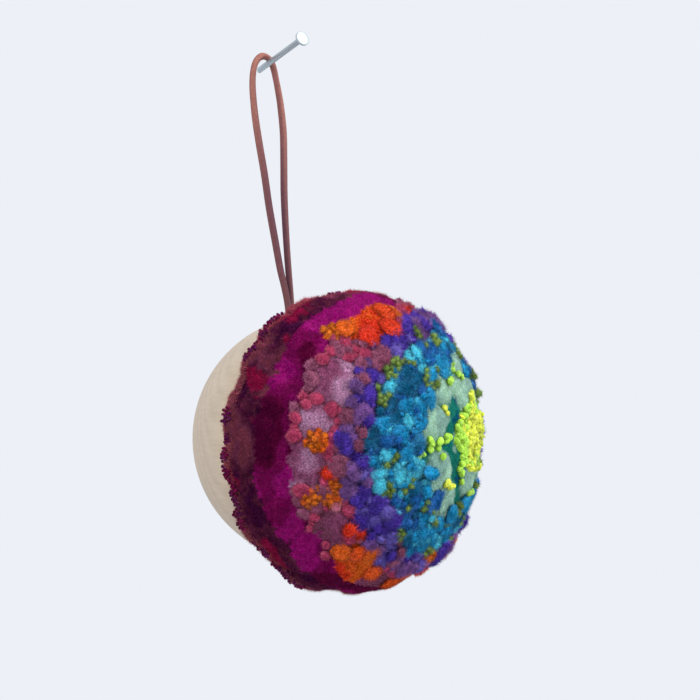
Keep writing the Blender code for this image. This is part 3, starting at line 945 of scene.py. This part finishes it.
def cord_mesh(route):
    """The lace as a swept rounded square that turns slowly along its length."""
    count = len(route)
    tangents = unit(np.gradient(route, axis=0))
    sides = [unit(np.cross(tangents[0], (0, 1, 0)))]
    for tangent in tangents:
        sides.append(unit(sides[-1] - tangent * (sides[-1] @ tangent)))
    sides = np.array(sides[1:])
    others = np.cross(tangents, sides)
    turn = tau * np.arange(CORD_SIDES) / CORD_SIDES
    power = CORD_SQUARENESS
    square = (np.abs(np.cos(turn))**power + np.abs(np.sin(turn))**power) ** (-1 / power)
    reach = CORD_DIAMETER / 2 * CORD_FLATS * square[:, None]
    step = np.arange(count)
    around = (turn + (CORD_TWIST * step + CORD_SWAY * np.sin(0.11 * step))[:, None])[..., None]
    out = sides[:, None] * np.cos(around) + others[:, None] * np.sin(around)
    places = route[:, None] + out * reach
    # Painted light: the lace is lighter towards the top and darker lower down
    lit_top = smoothstep(*CORD_LIT_SPAN, route[:, 2])[:, None]
    flat = 0.5 + 0.5 * np.cos(2 * turn)
    tints = blend(CORD_DARK, CORD_LIGHT, 0.10 + 0.42 * lit_top + 0.40 * flat * (0.45 + 0.55 * lit_top))
    fan = np.array([(0, k, k + 1) for k in range(1, CORD_SIDES - 1)])
    walls = zip_rings([CORD_SIDES] * count)
    faces = np.concatenate([walls[:, ::-1], fan[:, ::-1], fan + CORD_SIDES * (count - 1)])
    return array_mesh("leather_lace", places.reshape(-1, 3), faces, tints.reshape(-1, 3))


def add_cord():
    route = np.array(smooth_route([Vector(p) * MM for p in CORD_ROUTE_MM], CORD_STEPS))
    lace = mesh_object("leather_lace", cord_mesh(route), leather_material())
    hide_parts("cord_loop")


# Nail and ball

def add_nail():
    shank, head = NAIL_DIAMETER / 2, NAIL_HEAD_DIAMETER / 2
    under = NAIL_LENGTH - NAIL_HEAD_THICKNESS
    profile = [(shank, -NAIL_DIAMETER)]
    corners = ((shank, under, NAIL_NECK), (head, under, NAIL_FLANGE), (head, NAIL_LENGTH, NAIL_CROWN))
    for radius, height, steps in corners:
        profile += [(radius + out * MM, height + up * MM) for out, up in steps]
    bm = turned(profile, NAIL_SIDES, Matrix.Rotation(pi / 2 - NAIL_RISE, 4, "X"))
    everything = bm.verts[:] + bm.edges[:] + bm.faces[:]
    bmesh.ops.bisect_plane(bm, geom=everything, plane_co=(0, 0, 0), plane_no=(0, 1, 0), clear_outer=True)
    bmesh.ops.edgeloop_fill(bm, edges=[e for e in bm.edges if e.is_boundary])
    bmesh.ops.recalc_face_normals(bm, faces=bm.faces)
    nail = mesh_object("wire_nail", to_mesh("wire_nail", bm, 40), steel_material())
    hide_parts("nail")


def add_ball():
    """The ball, its back cut flat with a soft edge, and the lace's hole drilled into it."""
    back = acos(BALL_DEPTH / BALL_RADIUS)
    seat = acos((BALL_SEAT_DEPTH - BALL_DEPTH) / BALL_RADIUS)
    edge = BALL_RADIUS * sin(back)
    profile = [(edge - BALL_EDGE, 0.0), (edge - 0.05 * MM, BALL_EDGE / 2)]
    for k in range(1, BALL_RINGS + 1):
        angle = back + (pi - back - seat) * k / BALL_RINGS
        profile.append((BALL_RADIUS * sin(angle), BALL_DEPTH - BALL_RADIUS * cos(angle)))
    place = Matrix.Translation((0, 0, -BALL_DROP)) @ Matrix.Rotation(pi / 2, 4, "X")
    mesh = to_mesh("wood_ball", turned(profile, BALL_SIDES, place), 20)
    ball = mesh_object("turned_ball", mesh, wood_material())
    drill = [(HOLE_DIAMETER / 2, -HOLE_LENGTH), (HOLE_DIAMETER / 2, HOLE_LENGTH)]
    lean = Matrix.Translation(HOLE_MOUTH) @ Matrix.Rotation(-HOLE_LEAN, 4, "X")
    cutter = add_object("drill", to_mesh("drill", turned(drill, HOLE_SIDES, lean)))
    cut = ball.modifiers.new("hole", "BOOLEAN")
    cut.operation, cut.solver, cut.object = "DIFFERENCE", "EXACT", cutter
    bpy.context.view_layer.update()
    cut_mesh = bpy.data.meshes.new_from_object(ball.evaluated_get(bpy.context.evaluated_depsgraph_get()))
    ball.modifiers.clear()
    ball.data = cut_mesh
    bpy.data.objects.remove(cutter)
    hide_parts("wood_ball")


# Wool

# How the lumps of each band look. Coat is how long their fibres are, and rim how strong the painted sheen on
# their shoulders is.
Look = namedtuple("Look", "kind colours stretch wide sink coat rim")
HEART_COLOURS = ("lime", "yellow", "gold", "lime")
BLUE_COLOURS = ("deep_teal", "blue", "cerulean", "sky", "cerulean", "blue")
VIOLET_COLOURS = ("brown_mauve", "grey_purple", "violet", "periwinkle", "violet", "grey_purple")
ROSE_COLOURS = ("rose", "brown_mauve", "rose", "pale_rose")
LOOKS = {
    HEART_BAND: Look("glossy", HEART_COLOURS, 1.30, 0.95, 0.6 * MM, 0.50, 0.0),
    BLUE_BAND: Look("big", BLUE_COLOURS, 1.25, 1.35, 0.0, 0.95, 0.26),
    VIOLET_BAND: Look("big", VIOLET_COLOURS, 1.06, 1.25, 0.0, 1.15, 0.16),
    ROSE_BAND: Look("big", ROSE_COLOURS, 1.06, 1.10, 0.0, 0.85, 0.32),
}
ORANGE_LOOK = Look("big", None, 1.06, 1.50, 0.0, 1.0, 0.04)
ORANGE_FLATNESS = 0.72
CORE, CORE_COLOURS = 0.7 * EDGES[HEART_BAND], ("gold", "yellow", "yellow")  # the heart's middle
SHADES = (0.82, 1.15)  # how dark and how light a colour gets from lump to lump
# Lumps that close the gaps between the bobbles, band by band, their sizes in mm
Filler = namedtuple("Filler", "band wanted radius height stretch wide room clear")
FILLERS = (
    Filler(HEART_BAND, 300, 0.80, 1.5, 1.28, 1.12, 0.44, 0.0),
    Filler(BLUE_BAND, 190, 1.40, 1.3, 1.22, 1.0, 0.58, 1.05),
    Filler(VIOLET_BAND, 110, 1.70, 1.5, 1.08, 1.0, 0.62, 0.0),
    Filler(ROSE_BAND, 190, 1.35, 1.3, 1.12, 1.0, 0.62, 1.0),
    Filler(BLUE_BAND, 120, 1.00, 1.6, 1.25, 1.0, 0.52, 1.05),
    Filler(VIOLET_BAND, 80, 1.10, 1.3, 1.08, 1.0, 0.58, 0.0),
    Filler(ROSE_BAND, 120, 0.95, 1.2, 1.12, 1.0, 0.58, 1.0),
)
# Knots in ones to sevens, the first at the middle. Low and high are how far from the heart they lie.
Group = namedtuple("Group", "low high groups least most spread radius height look")
TEAL_LOOK = Look("glossy", ("lime", "lime", "yellow"), 1.12, 1.0, 0.0, 1.5, 0.12)
OLIVE_LOOK = TEAL_LOOK._replace(kind="small", colours=("olive", "olive", "moss"), stretch=1.08)
RED_LOOK = TEAL_LOOK._replace(kind="big", colours=("red_orange",), stretch=1.0)
RIM_LOOK = Look("small", ("knot_plum", "wine", "knot_plum"), 1.05, 1.0, -0.15 * MM, 0.4, 0.12)
TEAL_KNOTS = Group(0.20, 0.40, 3, 2, 3, 1.5 * MM, 0.95 * MM, 1.2 * MM, TEAL_LOOK)
GROUPS = (
    TEAL_KNOTS,
    Group(0.36, 0.60, 34, 1, 6, 1.5 * MM, 0.86 * MM, 2.0 * MM, OLIVE_LOOK),
    Group(0.67, 0.78, 4, 1, 1, 0.1 * MM, 1.60 * MM, 1.7 * MM, RED_LOOK),
)
KNOT_ROOM = 0.72
FILLER_TRIES, GROUP_TRIES, KNOT_TRIES = 90, 60, 12  # for each one wanted
RIM_KNOTS = Group(None, None, 190, 3, 7, 1.15 * MM, 0.44 * MM, 0.8 * MM, RIM_LOOK)  # 190 places round the rim
# Heads of amber knots over a dark dome
CROWN_RADIUS = 2.2 * MM
CROWN_DOME = Look("big", None, 1.0, 0.95, 0.0, 1.0, 0.12)
CROWN_KNOTS = 2.9 / MM**2  # how many a head has, for the square of its radius
CROWN_COLOURS = ("amber", "amber", "orange")
PATCH_CROWNS, OPEN_CROWNS = 6, 500  # places tried round each orange patch, and in the open
GOLDEN_TURN = 2.39996


class Dresser:
    """Places lumps on the pile, each clear of those before it."""

    def __init__(self, cap, pile, bobbles, rng):
        self.cap, self.pile, self.rng, self.draw = cap, pile, rng, rng.uniform
        self.taken = Tufts(bobbles.all)
        self.lumps = {kind: [] for kind in FORMS}

    def shade(self, spot, names):
        """One of the colours, mostly the same one as its neighbours have."""
        turn = 0.5 + 0.62 * noise(spot[None], 6.5, 61)[0] + 0.09 * self.rng.normal()
        return linear(names[int(np.clip(turn, 0, 0.999) * len(names))]) * self.draw(*SHADES)

    def colour(self, look, tuft):
        """A colour for a bobble or filler."""
        deep = from_heart(tuft.share, tuft.angle) < CORE
        return self.shade(tuft.spot, CORE_COLOURS if deep else look.colours)

    def put(self, look, tuft, colour, wide=1.0, stretch=None):
        """Stands a lump in the pile, as high as a tuft and so many times as wide."""
        normal = self.cap.normal(np.array(tuft.share), np.array(tuft.angle))
        spot = tuft.spot[None]
        rise = self.pile.height(spot, *self.pile.nearest(spot))[0] - look.sink
        turn = self.draw(0, tau)
        self.lumps[look.kind].append(Lump(tuft.spot + normal * rise, normal, tuft.radius * wide, tuft.height,
                                          colour, stretch or look.stretch, turn, look.coat, look.rim))

    def claim(self, share, angle, radius, room, clear=0.0):
        """A new tuft at a place, or None if another or, with clear, a patch is too near."""
        spot = self.cap.place(share, angle)
        if self.taken.near(spot, room, radius) or self.pile.wide.near(spot, clear):
            return None
        tuft = Tuft(spot, radius, None, share, angle, None)
        self.taken.add(tuft)
        return tuft

    def free(self, low, high, radius, room, clear):
        """A tuft at a place drawn at random, if it is free and between two distances from the heart."""
        x, y = self.draw(-1, 1, 2)
        share, angle = hypot(x, y), atan2(y, x)
        if share > FRONT or not low <= heart_share(x, y) + 0.008 * self.rng.normal() < high:
            return None
        return self.claim(share, angle, radius, room, clear)

    def bobbles(self):
        """The part's own bobbles, each in its band's look: those in the teal band become groups of knots, and
        those at an orange patch flat lumps of its colour or crowns.
        """
        for tuft in list(self.taken.all):
            if tuft.band == TEAL_BAND:
                self.group(TEAL_KNOTS, tuft, int(self.rng.integers(1, 4)))
            elif tuft.band == ROSE_BAND and self.pile.orange.near(tuft.spot, 1.0):
                colour = self.pile.tone(tuft.spot[None], self.pile.nearest(tuft.spot[None])[0])[0]
                flat = tuft._replace(height=tuft.height * ORANGE_FLATNESS)
                self.put(ORANGE_LOOK, flat, colour, ORANGE_LOOK.wide)
            elif tuft.band == ROSE_BAND and self.pile.orange.near(tuft.spot, 1.2):
                self.crown(tuft)
            else:
                look = LOOKS[tuft.band]
                self.put(look, tuft, self.colour(look, tuft), look.wide)

    def fill(self, row):
        """Lumps that close the gaps in a band."""
        low = EDGES[row.band - 1] if row.band else -1.0
        look = LOOKS[row.band]
        count = 0
        for _ in range(row.wanted * FILLER_TRIES):
            radius = row.radius * MM * self.draw(0.75, 1.25)
            tuft = self.free(low, EDGES[row.band], radius, row.room, row.clear)
            if tuft and count < row.wanted:
                count += 1
                tuft = tuft._replace(height=row.height * MM * self.draw(0.8, 1.15))
                self.put(look, tuft, self.colour(look, tuft), row.wide, row.stretch)

    def groups(self, row):
        """Groups of knots at free places."""
        count = 0
        for _ in range(row.groups * GROUP_TRIES):
            tuft = self.free(row.low, row.high, row.radius, KNOT_ROOM, 0.80)
            if tuft and count < row.groups:
                count += 1
                self.group(row, tuft, int(self.rng.integers(row.least, row.most + 1)))

    def group(self, row, middle, members):
        """A knot in the middle and others of its colour close round it."""
        colour = self.shade(middle.spot, row.look.colours)
        self.put(row.look, middle._replace(radius=row.radius, height=row.height), colour)
        for _ in range(members * KNOT_TRIES):
            if members <= 1:
                return
            out = row.spread * sqrt(self.draw(0.2, 1.0))
            share, angle = on_cap(self.cap, middle, self.draw(0, tau), out)
            radius = row.radius * self.draw(0.8, 1.2)
            tuft = self.claim(share, angle, radius, KNOT_ROOM) if share < 1.1 else None
            if tuft:
                members -= 1
                height = row.height * self.draw(0.85, 1.1)
                self.put(row.look, tuft._replace(height=height), colour * self.draw(0.8, 1.2))

    def crown(self, tuft):
        """A head of amber knots, spread over its dome in a spiral."""
        radius = CROWN_RADIUS * self.draw(0.8, 1.15)
        dome = tuft._replace(radius=radius, height=1.5 * MM)
        self.put(CROWN_DOME, dome, linear("burnt_orange"), CROWN_DOME.wide)
        spot, normal = self.lumps[CROWN_DOME.kind][-1][:2]
        side, other = across(normal)
        knots = int(radius**2 * CROWN_KNOTS)
        turn = self.draw(0, 6)
        for k in range(knots):
            tilt = acos(1 - 0.95 * (k + 0.5) / knots)
            turn += GOLDEN_TURN + 0.25 * self.rng.normal()
            level = sin(tilt) * (side * cos(turn) + other * sin(turn))
            place = spot + (0.98 * level + 0.42 * cos(tilt) * normal) * radius
            out = unit(level + cos(tilt) * normal + 0.4 * normal)
            colour = linear(self.rng.choice(CROWN_COLOURS)) * self.draw(0.75, 1.1)
            size = 0.92 * MM * self.draw(0.85, 1.25)
            self.lumps["small"].append(Lump(place, out, size, 1.0 * MM, colour, 1.05, self.draw(0, 6)))

    def crowns(self):
        """Heads of amber knots at the edges of the orange patches, and some in the open."""
        for tuft in self.pile.orange.all:
            for _ in range(PATCH_CROWNS):
                share, angle = on_cap(self.cap, tuft, self.draw(0, tau), tuft.radius * 1.02)
                if from_heart(share, angle) < EDGES[ROSE_BAND] and self.cap.place(share, angle)[0] < FAR_SIDE:
                    found = self.claim(share, angle, CROWN_RADIUS, 0.62)
                    if found:
                        self.crown(found)
        for _ in range(OPEN_CROWNS):
            found = self.free(EDGES[VIOLET_BAND], EDGES[ROSE_BAND], 1.9 * MM, 0.60, 0.95)
            if found:
                self.crown(found)

    def rim(self):
        """Chains and clusters of dark knots along the rim, mostly on its left."""
        steps = RIM_KNOTS.groups
        for k in range(steps):
            angle = tau * (k + self.draw(-0.4, 0.4)) / steps
            where = RIM_RADIUS * np.array([[cos(angle), sin(angle), 0.3]])
            rare = 0.02 + 0.6 * float(smoothstep(-0.65, 0.05, cos(angle)))
            if noisy(0, where, (0.7, 14, 62), (1, 4, 63))[0] >= rare:
                share = 0.995 + self.draw(-0.012, 0.016)
                tuft = self.claim(share, angle, RIM_KNOTS.radius, 0.0)
                self.group(RIM_KNOTS, tuft, int(self.rng.integers(RIM_KNOTS.least, RIM_KNOTS.most + 1)))

    def dress(self):
        """All lumps, kind by kind."""
        self.bobbles()
        self.crowns()
        for row in GROUPS:
            self.groups(row)
        for row in FILLERS:
            self.fill(row)
        self.rim()
        return self.lumps


def on_cap(cap, tuft, heading, out):
    """The place on the cap that lies a distance from a tuft's middle, towards a heading."""
    x, y = tuft.share * cos(tuft.angle), tuft.share * sin(tuft.angle)
    wide = cap.radius(tuft.share) / max(tuft.share, 1e-3)
    step_out, step_round = out * cos(heading) / cap.arc_to_rim, out * sin(heading) / wide
    x += step_out * cos(tuft.angle) - step_round * sin(tuft.angle)
    y += step_out * sin(tuft.angle) + step_round * cos(tuft.angle)
    return hypot(x, y), atan2(y, x)


def pile_beds(base, shows, coat):
    """The beds of the pile's own fibres and of the rusty fringe along its rim."""
    def at_rim(spots):
        return smoothstep(2.4 * MM, 0.8 * MM, np.abs(spots[:, 1] + RIM_DEPTH + 0.3 * MM))

    middles = base.places[base.faces].mean(axis=1)
    swirl = np.stack([noise(middles, 4.5, seed) for seed in (31, 32, 33)], axis=1)
    rust_pink = np.append(linear("fringe"), SHEARED_CURL)
    rusty = smoothstep(-0.35, 0.45, noise(base.places, 4.5, 34))
    rusted = blend(base.tints, rust_pink, 0.40 * rusty * at_rim(base.places))
    pile = with_normals(base._replace(tints=rusted))
    fringe = pile._replace(tints=blend(rusted, rust_pink, 0.40 + 0.40 * rusty))
    return {"pile": Bed(pile, shows, swirl, coat),
            "fringe": Bed(fringe, at_rim(middles), swirl, np.ones(len(middles)))}


def wool_piece(name, surface, material):
    return mesh_object(name, array_mesh(name, *surface), material)


def add_wool():
    cap = Cap()
    patches, bobbles = lay_out(cap)
    rng = np.random.default_rng(SEED + 100)
    pile = Pile(cap, patches, rng)
    lumps = Dresser(cap, pile, bobbles, rng).dress()
    base, shows, base_coat = pile_surface(cap, pile, lumps["big"] + lumps["glossy"], rng)
    beds = {kind: lump_bed(lumps[kind], form) for kind, form in FORMS.items()}
    wool, fuzz, thread = (yarn_material(yarn) for yarn in (WOOL, FUZZ, THREAD))
    # Painted shade: the felt under the fibres is darker than they are
    felt = base._replace(tints=base.tints * (FELT_PAINTED_SHADE, FELT_PAINTED_SHADE, FELT_PAINTED_SHADE, 1))
    made = wool_piece("wool_pile", felt, wool)
    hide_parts("wool_dome")
    wool_piece("wool_bobbles", beds["big"].surface, wool)
    wool_piece("wool_knots", beds["small"].surface, wool)
    wool_piece("thread_knots", beds["glossy"].surface, thread)
    for kind in ("big", "small"):
        beds[kind] = beds[kind]._replace(surface=with_normals(beds[kind].surface))
    beds.update(pile_beds(base, shows, base_coat))
    for number in range(FIBRE_BATCHES):
        rng = np.random.default_rng(SEED + 200 + number)
        coats = [grow(beds[row.bed], row, rng) for row in FIBRES]
        wool_piece(f"wool_fuzz_{number + 1}", joined(coats), fuzz)


def main():
    add_camera()
    add_cord()
    add_nail()
    add_ball()
    add_wool()
    add_studio()


main()
